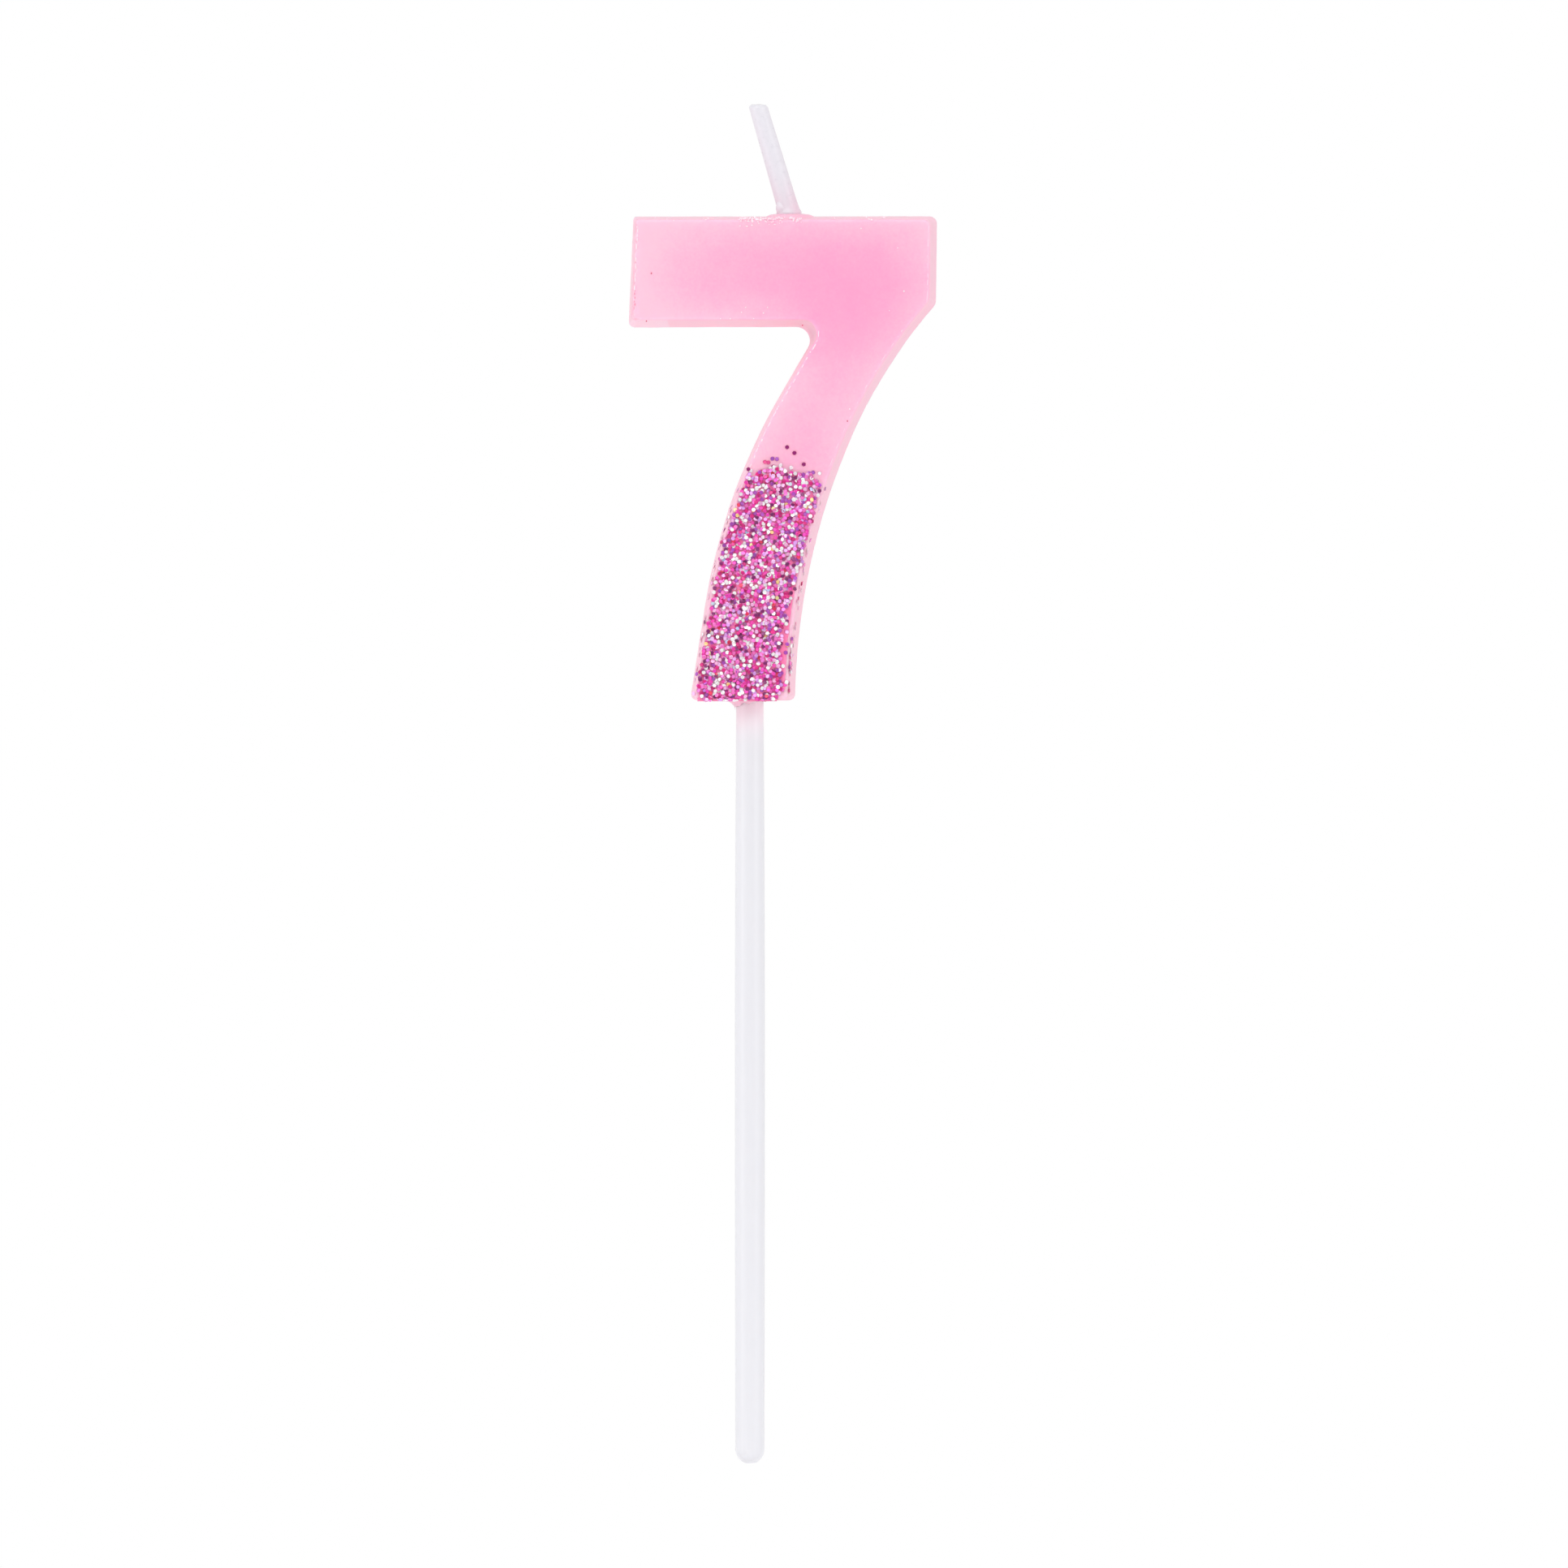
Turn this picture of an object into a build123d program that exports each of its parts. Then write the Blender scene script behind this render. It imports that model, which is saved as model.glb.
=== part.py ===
"""A numeral 7 birthday candle on a pick: pink cast wax, a waxed cotton wick, a plastic stick and glued glitter.

Millimetres. The origin is on the stick's axis, where the stick leaves the numeral. +Z is up, +X is to the
right of someone who reads the numeral, and the front face looks towards -Y.
"""

import math
import os
import random

from build123d import *

# ---- Driving dimensions -------------------------------------------------------------------------

# Numeral: the back outline is the large one, because the walls lean in towards the front face.
thickness = 8.0
wall_inset = 0.55  # how far each wall leans in from back to front
numeral_top = 49.87
head_left_top = -12.15
head_left_bottom = -12.65
head_right = 19.2
arm_bottom = 38.35
edge_radius = 0.25
top_left_radius = 0.3
top_right_radius = 0.8
shoulder_radius = 1.0
arm_end_radius = 0.6
crotch_radius = 1.4
foot_radius = 0.65

# Outer sweep of the stem: a tighter arc under the shoulder, then a gentler one down past the foot.
shoulder = (19.09, 40.75)
outer_heading = 41.3  # degrees from straight down, towards -X
outer_upper_radius = 52.4
outer_upper_turn = 17.7
outer_lower_radius = 69.8
outer_lower_turn = 24.0

# Inner sweep of the stem: straight below the crotch, an arc, and straight again past the foot.
crotch = (7.04, 38.4)
inner_heading = 30.6
inner_upper_length = 7.3
inner_radius = 64.2
inner_turn = 21.6
inner_lower_length = 12.0

# Stick: a round rod with a domed tip. It tapers from the wax collar upwards, and three shallow grooves key it
# into the numeral.
stick_radius = 1.5
stick_tip_height = -78.4
stick_top_height = 15.0
stick_top_radius = 1.35
stick_top_chamfer = 0.3
groove_radius = 0.35
groove_floor_radius = 1.2
groove_heights = (4.0, 7.5, 11.0)

# Wax that crept down the stick, and up the wick, before it set.
collar_radius = 2.7
collar_drop = 1.1
creep_sag = 0.3
skirt_radius = 2.5
skirt_top_radius = 0.75  # inside the wick, so that the skirt meets the wick's side at a clear angle
skirt_rise = 0.65
creep_overlap = 0.5

# Wick: a straight leaning length above the numeral, then a bend inside it that follows the stem.
wick_tip = (0.78, 61.2)
wick_foot = (4.12, 49.87)
wick_bend = (8.75, 34.2)
wick_knee = (4.3, 24.5)
wick_end = (1.75, 17.5)
wick_bend_radius = 9.0
wick_knee_radius = 20.0
wick_radius = 0.93  # as bought, and inside the numeral
wick_foot_radius = 1.1
wick_tip_radius = 0.95
wick_tip_edge_radius = 0.25
yarn_radius = 0.26
yarn_circle_radius = 0.32
yarn_count = 3

# Glitter: hexagonal flakes of one size, on and around a thin film of glue.
glue_thickness = 0.12
glue_margin = 0.1
glue_foot = 0.35
glue_edge_height = 22.8
glue_crown = (2.5, 23.8)
flake_width = 0.4  # across the flats
flake_thickness = 0.05
flake_pitch = 0.95
flake_border = 0.3
flake_jitter = 0.15
flake_most_tilt = 40.0  # degrees
flake_gap = 0.01
flake_seed = 7
right_wall_top = 14.5
right_wall_pitch = 0.45
left_wall_top = 20.0
left_wall_pitch = 1.6
wall_border = 0.8
stray_places = (
    (3.9, 25.9),
    (4.7, 25.2),
    (2.4, 24.75),
    (3.05, 24.6),
    (5.6, 24.2),
    (1.6, 24.35),
    (-0.3, 23.85),
    (7.2, 23.6),
)

# ---- Values worked out from them ----------------------------------------------------------------

front_y = -thickness / 2
back_y = thickness / 2
wall_slope = math.degrees(math.atan(wall_inset / thickness))
back_plane = Plane.XZ.offset(-back_y)
front_plane = Plane.XZ.offset(-front_y)
top_outward = Vector(0, -math.sin(math.radians(wall_slope)), math.cos(math.radians(wall_slope)))
skirt_foot = Vector(wick_foot[0], 0, numeral_top - wall_inset / 2)
flake_radius = flake_width / math.sqrt(3)
chance = random.Random(flake_seed)


def heading(angle):
    """The direction that points down and leans the given angle, in degrees, towards -X."""
    return (-math.sin(math.radians(angle)), -math.cos(math.radians(angle)))


# ---- Outline of the numeral ---------------------------------------------------------------------

with BuildLine() as outer_sweep:
    outer_upper = JernArc(shoulder, heading(outer_heading), outer_upper_radius, outer_upper_turn)
    JernArc(outer_upper @ 1, outer_upper % 1, outer_lower_radius, outer_lower_turn)

with BuildLine() as inner_sweep:
    inner_straight = PolarLine(crotch, inner_upper_length, direction=heading(inner_heading))
    inner_arc = JernArc(inner_straight @ 1, inner_straight % 1, inner_radius, inner_turn)
    PolarLine(inner_arc @ 1, inner_lower_length, direction=inner_arc % 1)

# Both sweeps run on past the foot, which is cut off flat and square at height 0.
with BuildSketch() as outline:
    with BuildLine():
        add(outer_sweep.line)
        add(inner_sweep.line)
        Line(outer_sweep.wire() @ 1, inner_sweep.wire() @ 1)
        Polyline(
            crotch,
            (head_left_bottom, arm_bottom),
            (head_left_top, numeral_top),
            (head_right, numeral_top),
            shoulder,
        )
    make_face()



def sweep_at(sweep, height):
    """The point where one side of the stem passes the given height."""
    return sweep.wire().intersect(Axis((0, height, 0), (1, 0, 0)))[0].center()


corner_radii = {
    (head_left_top, numeral_top): top_left_radius,
    (head_right, numeral_top): top_right_radius,
    shoulder: shoulder_radius,
    (sweep_at(outer_sweep, 0).X, 0): foot_radius,
    (sweep_at(inner_sweep, 0).X, 0): foot_radius,
    crotch: crotch_radius,
    (head_left_bottom, arm_bottom): arm_end_radius,
}

# ---- Stick --------------------------------------------------------------------------------------

with BuildPart() as stick:
    with BuildSketch(Plane.XZ):
        with BuildLine():
            Polyline(
                (stick_radius, stick_tip_height + stick_radius),
                (stick_radius, -collar_drop),
                (stick_top_radius, stick_top_height),
                (0, stick_top_height),
                (0, stick_tip_height),
            )
            RadiusArc((0, stick_tip_height), (stick_radius, stick_tip_height + stick_radius), -stick_radius)
        make_face()
    revolve(axis=Axis.Z)
    chamfer(edges().sort_by(Axis.Z)[-1], stick_top_chamfer)
    with BuildSketch(Plane.XZ):
        with Locations(*[(groove_floor_radius + groove_radius, height) for height in groove_heights]):
            Circle(groove_radius)
    revolve(axis=Axis.Z, mode=Mode.SUBTRACT)

# ---- Wick ---------------------------------------------------------------------------------------

lean = Vector(wick_tip[0] - wick_foot[0], 0, wick_tip[1] - wick_foot[1])
foot_point = Vector(wick_foot[0], 0, wick_foot[1])
tip_plane = Plane.XY.offset(wick_tip[1])
uncut_length = lean.length + wick_foot_radius
uncut_end = foot_point + lean.normalized() * uncut_length
wick_slope = math.degrees(math.atan((wick_foot_radius - wick_tip_radius) / lean.length))

with BuildLine(Plane.XZ) as wick_path:
    FilletPolyline(
        (uncut_end.X, uncut_end.Z),
        wick_bend,
        wick_knee,
        wick_end,
        radius=[wick_bend_radius, wick_knee_radius],
    )

wick_start_plane = Plane(origin=wick_path.wire() @ 0, z_dir=wick_path.wire() % 0)

with BuildPart() as wick_yarns:
    with BuildSketch(wick_start_plane):
        with PolarLocations(yarn_circle_radius, yarn_count):
            Circle(yarn_radius)
    sweep(path=wick_path.wire())
    split(bisect_by=tip_plane, keep=Keep.BOTTOM)

with BuildPart() as wick_coat:
    with BuildSketch(wick_start_plane):
        Circle(wick_radius)
    sweep(path=wick_path.wire())
    # Above the numeral the wax is thicker towards the foot.
    with BuildSketch(Plane(origin=foot_point, z_dir=lean)):
        Circle(wick_foot_radius)
    extrude(amount=uncut_length, taper=wick_slope)
    split(bisect_by=tip_plane, keep=Keep.BOTTOM)
    fillet(edges().group_by(Axis.Z)[-1], wick_tip_edge_radius)
    add(wick_yarns.part, mode=Mode.SUBTRACT)

# ---- Numeral ------------------------------------------------------------------------------------

with BuildPart() as digit_wax:
    with BuildSketch(back_plane):
        add(outline.sketch)
    extrude(amount=thickness, taper=wall_slope)
    split(bisect_by=Plane.XY, keep=Keep.TOP)
    for (corner_x, corner_z), radius in corner_radii.items():
        wall_edges = edges().filter_by_position(Axis.Y, front_y / 2, back_y / 2)
        fillet(wall_edges.sort_by_distance((corner_x, 0, corner_z))[0], radius)
    fillet(edges().group_by(Axis.Y)[0], edge_radius)
    fillet(edges().group_by(Axis.Y)[-1], edge_radius)
    # The creep down the stick hangs from the foot, as a hollow-sided ring.
    with BuildSketch(Plane.XZ):
        with BuildLine():
            SagittaArc((stick_radius, -collar_drop), (collar_radius, 0), creep_sag)
            Polyline((collar_radius, 0), (collar_radius, creep_overlap), (0, creep_overlap), (0, -collar_drop))
            Line((0, -collar_drop), (stick_radius, -collar_drop))
        make_face()
    revolve(axis=Axis.Z)
    # The creep up the wick stands on the leaning top wall.
    with BuildSketch(Plane(origin=skirt_foot, x_dir=(1, 0, 0), z_dir=Vector(1, 0, 0).cross(top_outward))):
        with BuildLine():
            SagittaArc((skirt_radius, 0), (skirt_top_radius, skirt_rise), -creep_sag)
            Polyline(
                (skirt_top_radius, skirt_rise),
                (0, skirt_rise),
                (0, -creep_overlap),
                (skirt_radius, -creep_overlap),
                (skirt_radius, 0),
            )
        make_face()
    revolve(axis=Axis(skirt_foot, top_outward))
    add(stick.part, mode=Mode.SUBTRACT)
    add(wick_coat.part, mode=Mode.SUBTRACT)
    add(wick_yarns.part, mode=Mode.SUBTRACT)

# ---- Glue film ----------------------------------------------------------------------------------

with BuildSketch() as glue_outline:
    add(outline.sketch)
    offset(amount=-(wall_inset + edge_radius + glue_margin), mode=Mode.REPLACE)
    with BuildLine():
        brushed = ThreePointArc((head_right, glue_edge_height), glue_crown, (head_left_bottom, glue_edge_height))
        Polyline(brushed @ 1, (head_left_bottom, glue_foot), (head_right, glue_foot), brushed @ 0)
    make_face(mode=Mode.INTERSECT)

with BuildPart() as glitter_glue:
    with BuildSketch(front_plane):
        add(glue_outline.sketch)
    extrude(amount=glue_thickness)

# ---- Glitter ------------------------------------------------------------------------------------


def flake_plane(point, outward, tilt):
    """A plane for one flake, turned by chance, that leans the given angle and clears the point below it."""
    across = Vector(0, 0, 1).cross(outward).normalized()
    turn = chance.uniform(0, 360)
    lean_axis = Axis(point, across.rotate(Axis((0, 0, 0), outward), turn))
    normal = outward.rotate(Axis((0, 0, 0), lean_axis.direction), tilt)
    lift = flake_radius * math.sin(math.radians(tilt)) + flake_gap
    return Plane(origin=point + outward * lift, x_dir=lean_axis.direction, z_dir=normal)


def front_planes():
    """One flake plane at each point of a jittered hexagonal grid that falls on the glue."""
    glue_face = glue_outline.sketch.face()
    limits = glue_face.bounding_box()
    row_step = flake_pitch * math.sqrt(3) / 2
    planes = []
    for row in range(int(limits.size.Y / row_step) + 1):
        for column in range(int(limits.size.X / flake_pitch) + 1):
            x = limits.min.X + (column + row % 2 / 2) * flake_pitch + chance.uniform(-1, 1) * flake_jitter
            z = limits.min.Y + flake_border + row * row_step + chance.uniform(-1, 1) * flake_jitter
            corners = [(x + side * flake_border, z + rise * flake_border) for side in (-1, 1) for rise in (-1, 1)]
            if all(glue_face.is_inside((*corner, 0)) for corner in corners):
                point = Vector(x, front_y - glue_thickness, z)
                planes.append(flake_plane(point, Vector(0, -1, 0), chance.uniform(0, flake_most_tilt)))
    return planes


def wall_planes(sweep, side, top, pitch):
    """Flake planes down one side wall of the stem, below the given height. side is 1 on the right."""
    planes = []
    height = wall_border
    while height < top:
        edge_point = sweep_at(sweep, height)
        along = sweep.wire().tangent_at(sweep.wire().param_at_point(edge_point))
        outward_flat = Vector(-along.Y, 0, along.X) * side
        y = chance.uniform(front_y + wall_border, back_y - wall_border)
        inset = wall_inset * (back_y - y) / thickness
        point = Vector(edge_point.X, y, edge_point.Y) - outward_flat * inset
        slope = math.radians(wall_slope)
        outward = outward_flat * math.cos(slope) - Vector(0, 1, 0) * math.sin(slope)
        planes.append(flake_plane(point, outward, 0))
        height += pitch * chance.uniform(0.9, 1.5)
    return planes


with BuildPart() as front_glitter:
    with BuildSketch(*front_planes()):
        RegularPolygon(flake_radius, 6)
    extrude(amount=flake_thickness)

with BuildPart() as edge_glitter:
    right_planes = wall_planes(outer_sweep, 1, right_wall_top, right_wall_pitch)
    left_planes = wall_planes(inner_sweep, -1, left_wall_top, left_wall_pitch)
    with BuildSketch(*right_planes, *left_planes):
        RegularPolygon(flake_radius, 6)
    extrude(amount=flake_thickness)

with BuildPart() as stray_glitter:
    stray_planes = [flake_plane(Vector(x, front_y, z), Vector(0, -1, 0), 0) for x, z in stray_places]
    with BuildSketch(*stray_planes):
        RegularPolygon(flake_radius, 6)
    extrude(amount=flake_thickness)

# ---- Files --------------------------------------------------------------------------------------

pieces = {
    "digit_wax": digit_wax,
    "wick_yarns": wick_yarns,
    "wick_coat": wick_coat,
    "stick": stick,
    "glitter_glue": glitter_glue,
    "front_glitter": front_glitter,
    "edge_glitter": edge_glitter,
    "stray_glitter": stray_glitter,
}

os.makedirs("parts", exist_ok=True)
for name, piece in pieces.items():
    piece.part.label = name
    export_step(piece.part, f"parts/{name}.step")
    print(name, "solids", len(piece.part.solids()), "volume", round(piece.part.volume, 2))
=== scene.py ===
# %% [markdown]
# # A numeral birthday candle
#
# This lesson dresses a birthday candle: a pink wax numeral on a thin white stick, with a waxed
# wick at the top and glitter glued to the lower half of its front face. The exact shape comes
# from a CAD model that is loaded first and never changed. Blender adds what CAD leaves out: the
# soft skin of poured wax, chips and flash at the mould's edges, thousands of loose flakes, and
# every finish.
#
# All lengths are in metres, and the helper MM turns millimetres into them. Heights count from
# the numeral's foot, where the stick leaves it. The front face looks towards -Y.

# %% Load the frame
import math
import random

import bpy
import numpy as np
from mathutils import Matrix, Vector, noise
from mathutils.bvhtree import BVHTree


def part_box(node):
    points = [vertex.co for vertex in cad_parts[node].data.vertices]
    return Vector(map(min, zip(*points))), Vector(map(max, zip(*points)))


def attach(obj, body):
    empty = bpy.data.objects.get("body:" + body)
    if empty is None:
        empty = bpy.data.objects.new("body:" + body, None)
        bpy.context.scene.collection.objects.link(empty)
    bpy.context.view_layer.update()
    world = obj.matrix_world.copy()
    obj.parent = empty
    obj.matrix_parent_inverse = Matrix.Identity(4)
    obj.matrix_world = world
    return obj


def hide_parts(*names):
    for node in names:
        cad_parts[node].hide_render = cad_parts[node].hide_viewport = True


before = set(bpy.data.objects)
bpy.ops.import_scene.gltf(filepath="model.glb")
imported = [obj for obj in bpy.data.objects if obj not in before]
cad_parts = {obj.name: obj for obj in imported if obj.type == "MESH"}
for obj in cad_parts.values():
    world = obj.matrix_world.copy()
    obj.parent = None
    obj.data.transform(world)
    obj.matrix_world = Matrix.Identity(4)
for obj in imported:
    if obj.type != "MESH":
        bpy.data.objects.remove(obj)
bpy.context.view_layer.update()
MM = 0.001
print("nodes", sorted(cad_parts))

# %% [markdown]
# ## Working by hand, in code
#
# Each piece is modelled the way a person does it in the viewport: add a primitive, go into edit
# mode, select, and apply operators. An operator works on whatever is selected, so every step
# starts by clearing the selection. These helpers do the clicking.

# %% Helpers for selecting and finishing
def pick_only(*things):
    """Deselects everything, then selects these objects and makes the first one active."""
    for thing in bpy.context.selected_objects:
        thing.select_set(False)
    for thing in things:
        thing.select_set(True)
    bpy.context.view_layer.objects.active = things[0]


def select_points(piece, chosen):
    """In object mode, selects exactly the vertices that chosen says, one True or False for each."""
    for part in (piece.data.edges, piece.data.polygons):
        part.foreach_set("select", [False] * len(part))
    piece.data.vertices.foreach_set("select", [bool(choice) for choice in chosen])


def in_edit_mode(piece, work):
    """Runs work with the piece open in edit mode, then goes back."""
    pick_only(piece)
    bpy.ops.object.mode_set(mode="EDIT")
    work()
    bpy.ops.object.mode_set(mode="OBJECT")


def add_modifier(piece, name, kind, **settings):
    """Adds one modifier with its settings and applies it."""
    pick_only(piece)
    modifier = piece.modifiers.new(name, kind)
    for setting, value in settings.items():
        setattr(modifier, setting, value)
    bpy.ops.object.modifier_apply(modifier=modifier.name)


def join_pieces(pieces, name):
    """Joins several objects to one, places it at the origin and names it."""
    pick_only(*pieces)
    if len(pieces) > 1:
        bpy.ops.object.join()
    joined = bpy.context.view_layer.objects.active
    bpy.ops.object.transform_apply(location=True, rotation=True, scale=True)
    joined.name = name
    joined.data.name = name
    return joined


def clean_copy(node, name):
    """A merged copy of a CAD node's mesh, ready to be worked on. The node itself stays as it is."""
    copy = bpy.data.objects.new(name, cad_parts[node].data.copy())
    bpy.context.scene.collection.objects.link(copy)
    copy.data.materials.clear()

    def merge():
        bpy.ops.mesh.select_all(action="SELECT")
        bpy.ops.mesh.remove_doubles(threshold=0.001 * MM)

    in_edit_mode(copy, merge)
    return copy


def smooth(piece, sharp_above=None):
    """Shades the piece smooth, but leaves edges that turn more than this angle in degrees sharp."""
    pick_only(piece)
    if sharp_above is None:
        bpy.ops.object.shade_smooth()
    else:
        bpy.ops.object.shade_smooth_by_angle(angle=math.radians(sharp_above))


def dress(material, *pieces):
    """Makes this the only material of each piece."""
    for piece in pieces:
        piece.data.materials.clear()
        piece.data.materials.append(material)


def vertex_weights(piece, name, weights):
    """A vertex group with these weights, which limits where a modifier works."""
    group = piece.vertex_groups.new(name=name)
    for index in np.flatnonzero(weights > 0.01):
        group.add([int(index)], float(weights[index]), "REPLACE")
    return group.name


def finish_piece(piece, slot, *nodes):
    """Says what the piece is part of, and counts its triangles."""
    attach(piece, "root")
    if nodes:
        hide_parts(*nodes)
    triangles = sum(len(face.vertices) - 2 for face in piece.data.polygons)
    print(piece.name, "triangles", triangles)


def points_of(piece):
    """All vertex places of a piece, one row each, in millimetres."""
    flat = np.empty(len(piece.data.vertices) * 3)
    piece.data.vertices.foreach_get("co", flat)
    return flat.reshape(-1, 3) / MM


def paint(piece, name, values):
    """Writes one number for each vertex, which a material reads by name."""
    layer = piece.data.attributes.new(name, "FLOAT", "POINT")
    layer.data.foreach_set("value", np.asarray(values, np.float32))


# %% [markdown]
# ## Camera first
#
# Something this small is best seen from far away through a long lens, which keeps the stick's
# sides parallel. The camera stands a little to the right of the numeral, so the right wall shows
# more than the left one.

# %% Camera
view_centre = Vector((3.5 * MM, 0, -8.58 * MM))
view_distance = 1.74
view_turn = math.radians(1.5)
view_width = 161 * MM
sensor_width = 36

camera_data = bpy.data.cameras.new("camera")
camera_data.sensor_width = sensor_width
camera_data.lens = sensor_width * view_distance / view_width
camera_data.clip_start = 0.01
camera_data.clip_end = 20
camera = bpy.data.objects.new("camera", camera_data)
bpy.context.scene.collection.objects.link(camera)
towards_camera = Vector((math.sin(view_turn), -math.cos(view_turn), 0))
camera.location = view_centre + towards_camera * view_distance
camera.rotation_euler = (-towards_camera).to_track_quat("-Z", "Y").to_euler()
bpy.context.scene.camera = camera
bpy.context.scene.view_settings.view_transform = "Standard"
print("lens in mm", round(camera_data.lens, 1))

# %% [markdown]
# ## Shader sums as plain sums
#
# Materials here are built from maths. This class wraps one socket, so that a sum in Python adds
# the Math node for it, and a mask reads like a formula.

# %% Shader maths
class Value:
    """One output socket, which can be used in a formula."""

    def __init__(self, shader, socket):
        self.shader = shader
        self.socket = socket

    def maths(self, operation, *others):
        return self.shader.node("ShaderNodeMath", {"operation": operation}, [self, *others])

    def __add__(self, other):
        return self.maths("ADD", other)

    def __radd__(self, other):
        return self.maths("ADD", other)

    def __sub__(self, other):
        return self.maths("SUBTRACT", other)

    def __rsub__(self, other):
        return self.shader.node("ShaderNodeMath", {"operation": "SUBTRACT"}, [other, self])

    def __mul__(self, other):
        return self.maths("MULTIPLY", other)

    def __rmul__(self, other):
        return self.maths("MULTIPLY", other)

    def step(self, low, high):
        """0 below low, 1 above high and smooth between. A low above high turns it round."""
        settings = {"interpolation_type": "SMOOTHSTEP", "clamp": True}
        return self.shader.node("ShaderNodeMapRange", settings, [self, low, high, 0.0, 1.0])


class Shader:
    """A material or world that is being built."""

    def __init__(self, owner):
        owner.use_nodes = True
        self.tree = owner.node_tree
        self.tree.nodes.clear()

    def node(self, kind, settings=None, inputs=None, output=0):
        """Adds any node: its settings first, then its sockets by place or name, and gives one output."""
        made = self.tree.nodes.new(kind)
        for name, value in (settings or {}).items():
            setattr(made, name, value)
        pairs = inputs.items() if isinstance(inputs, dict) else enumerate(inputs or [])
        for key, value in pairs:
            if isinstance(value, Value):
                self.tree.links.new(value.socket, made.inputs[key])
            elif value is not None:
                made.inputs[key].default_value = value
        return Value(self, made.outputs[output]) if made.outputs else None

    def place(self):
        """The place on the object, in metres."""
        return self.node("ShaderNodeTexCoord", output="Object")

    def height(self):
        """The height above the numeral's foot, in millimetres."""
        return self.node("ShaderNodeSeparateXYZ", {}, [self.place()], "Z") * (1 / MM)

    def painted(self, name):
        """A number painted on the mesh."""
        return self.node("ShaderNodeAttribute", {"attribute_name": name}, output="Fac")

    def painted_colour(self, name):
        """A colour painted on the mesh."""
        return self.node("ShaderNodeAttribute", {"attribute_name": name}, output="Color")

    def grain(self, size_mm, detail=3.0, along_z=1.0):
        """Soft random spots of about this size, from 0 to 1. A small along_z draws them out upwards."""
        place = self.place()
        if along_z != 1.0:
            place = self.node("ShaderNodeMapping", {}, {"Vector": place, "Scale": (1, 1, along_z)})
        sockets = {"Vector": place, "Scale": 1 / (size_mm * MM), "Detail": detail}
        return self.node("ShaderNodeTexNoise", {"noise_dimensions": "3D"}, sockets, "Fac")

    def blend(self, share, first, second):
        """The first colour where share is 0 and the second where it is 1."""
        sockets = {0: share, 6: first, 7: second}
        return self.node("ShaderNodeMix", {"data_type": "RGBA"}, sockets, 2)

    def bump(self, height, depth_mm, below=None):
        """Turns a height from 0 to 1 into a bumpy normal of that real depth."""
        sockets = {"Height": height, "Distance": depth_mm * MM, "Strength": 1.0, "Normal": below}
        return self.node("ShaderNodeBump", {}, sockets, "Normal")

    def surface(self, **sockets):
        """The main shader and the output."""
        named = {name.replace("_", " "): value for name, value in sockets.items()}
        shader = self.node("ShaderNodeBsdfPrincipled", {"subsurface_method": "RANDOM_WALK"}, named)
        self.node("ShaderNodeOutputMaterial", {}, [shader])


def new_material(name):
    """A new material, and the shader that builds it."""
    material = bpy.data.materials.new(name)
    return material, Shader(material)


def rgb(red, green, blue):
    """A colour as the eye reads it, from 0 to 255, turned into linear light."""
    def linear(value):
        value = value / 255
        return value / 12.92 if value <= 0.04045 else ((value + 0.055) / 1.055) ** 2.4

    return (linear(red), linear(green), linear(blue), 1.0)


# %% [markdown]
# ## World and lamps
#
# White surroundings would make glitter dull, because a flake is a tiny mirror: it looks dark when
# it mirrors a dark room and white when it mirrors a lamp. So the world is bright behind and beside
# the candle and dark in front of it, with two soft boxes and a top lamp. Rays that go straight to
# the camera see plain white. A lamp's watts follow from its size and how bright its face is.

# %% World: white to the lens, a soft studio to everything else
world = bpy.data.worlds.new("studio")
bpy.context.scene.world = world
sky = Shader(world)
bright_sides = 0.84
dark_front = 0.16
white = (1, 1, 1, 1)
direction = sky.node("ShaderNodeTexCoord", output="Generated")
forward = sky.node("ShaderNodeSeparateXYZ", {}, [direction], "Y")
side_share = forward.step(-0.98, -0.45)
studio_level = side_share * (bright_sides - dark_front) + dark_front
to_lens = sky.node("ShaderNodeLightPath", output="Is Camera Ray")
studio = sky.node("ShaderNodeBackground", {}, [white, studio_level])
plain_white = sky.node("ShaderNodeBackground", {}, [white, 1.0])
seen = sky.node("ShaderNodeMixShader", {}, [to_lens, studio, plain_white])
sky.node("ShaderNodeOutputWorld", {}, [seen])
print("world level beside and in front", bright_sides, dark_front)


# %% Soft boxes
def soft_box(name, azimuth, elevation, distance, width, height, radiance):
    """A rectangular lamp that faces the candle. Azimuth 0 is in front and 90 at the right, in degrees."""
    turn, rise = math.radians(azimuth), math.radians(elevation)
    back = Vector((math.sin(turn) * math.cos(rise), -math.cos(turn) * math.cos(rise), math.sin(rise)))
    data = bpy.data.lights.new(name, "AREA")
    data.shape = "RECTANGLE"
    data.size = width
    data.size_y = height
    data.energy = radiance * math.pi * width * height
    lamp = bpy.data.objects.new(name, data)
    bpy.context.scene.collection.objects.link(lamp)
    lamp.location = view_centre + back * distance
    lamp.rotation_euler = back.to_track_quat("Z", "Y").to_euler()
    print(name, "watts", round(data.energy, 1))
    return lamp


soft_box("left_box", azimuth=-60, elevation=8, distance=1.3, width=0.6, height=1.3, radiance=1.35)
soft_box("right_box", azimuth=52, elevation=14, distance=1.5, width=0.5, height=1.0, radiance=2.6)
soft_box("top_box", azimuth=-10, elevation=34, distance=1.4, width=1.2, height=0.7, radiance=2.6)

# %% [markdown]
# ## Floor
#
# The candle is meant to stand in a cake, so nothing touches the floor here. A pale disc below the
# stick catches a little light and closes the scene for views from above.

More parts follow.
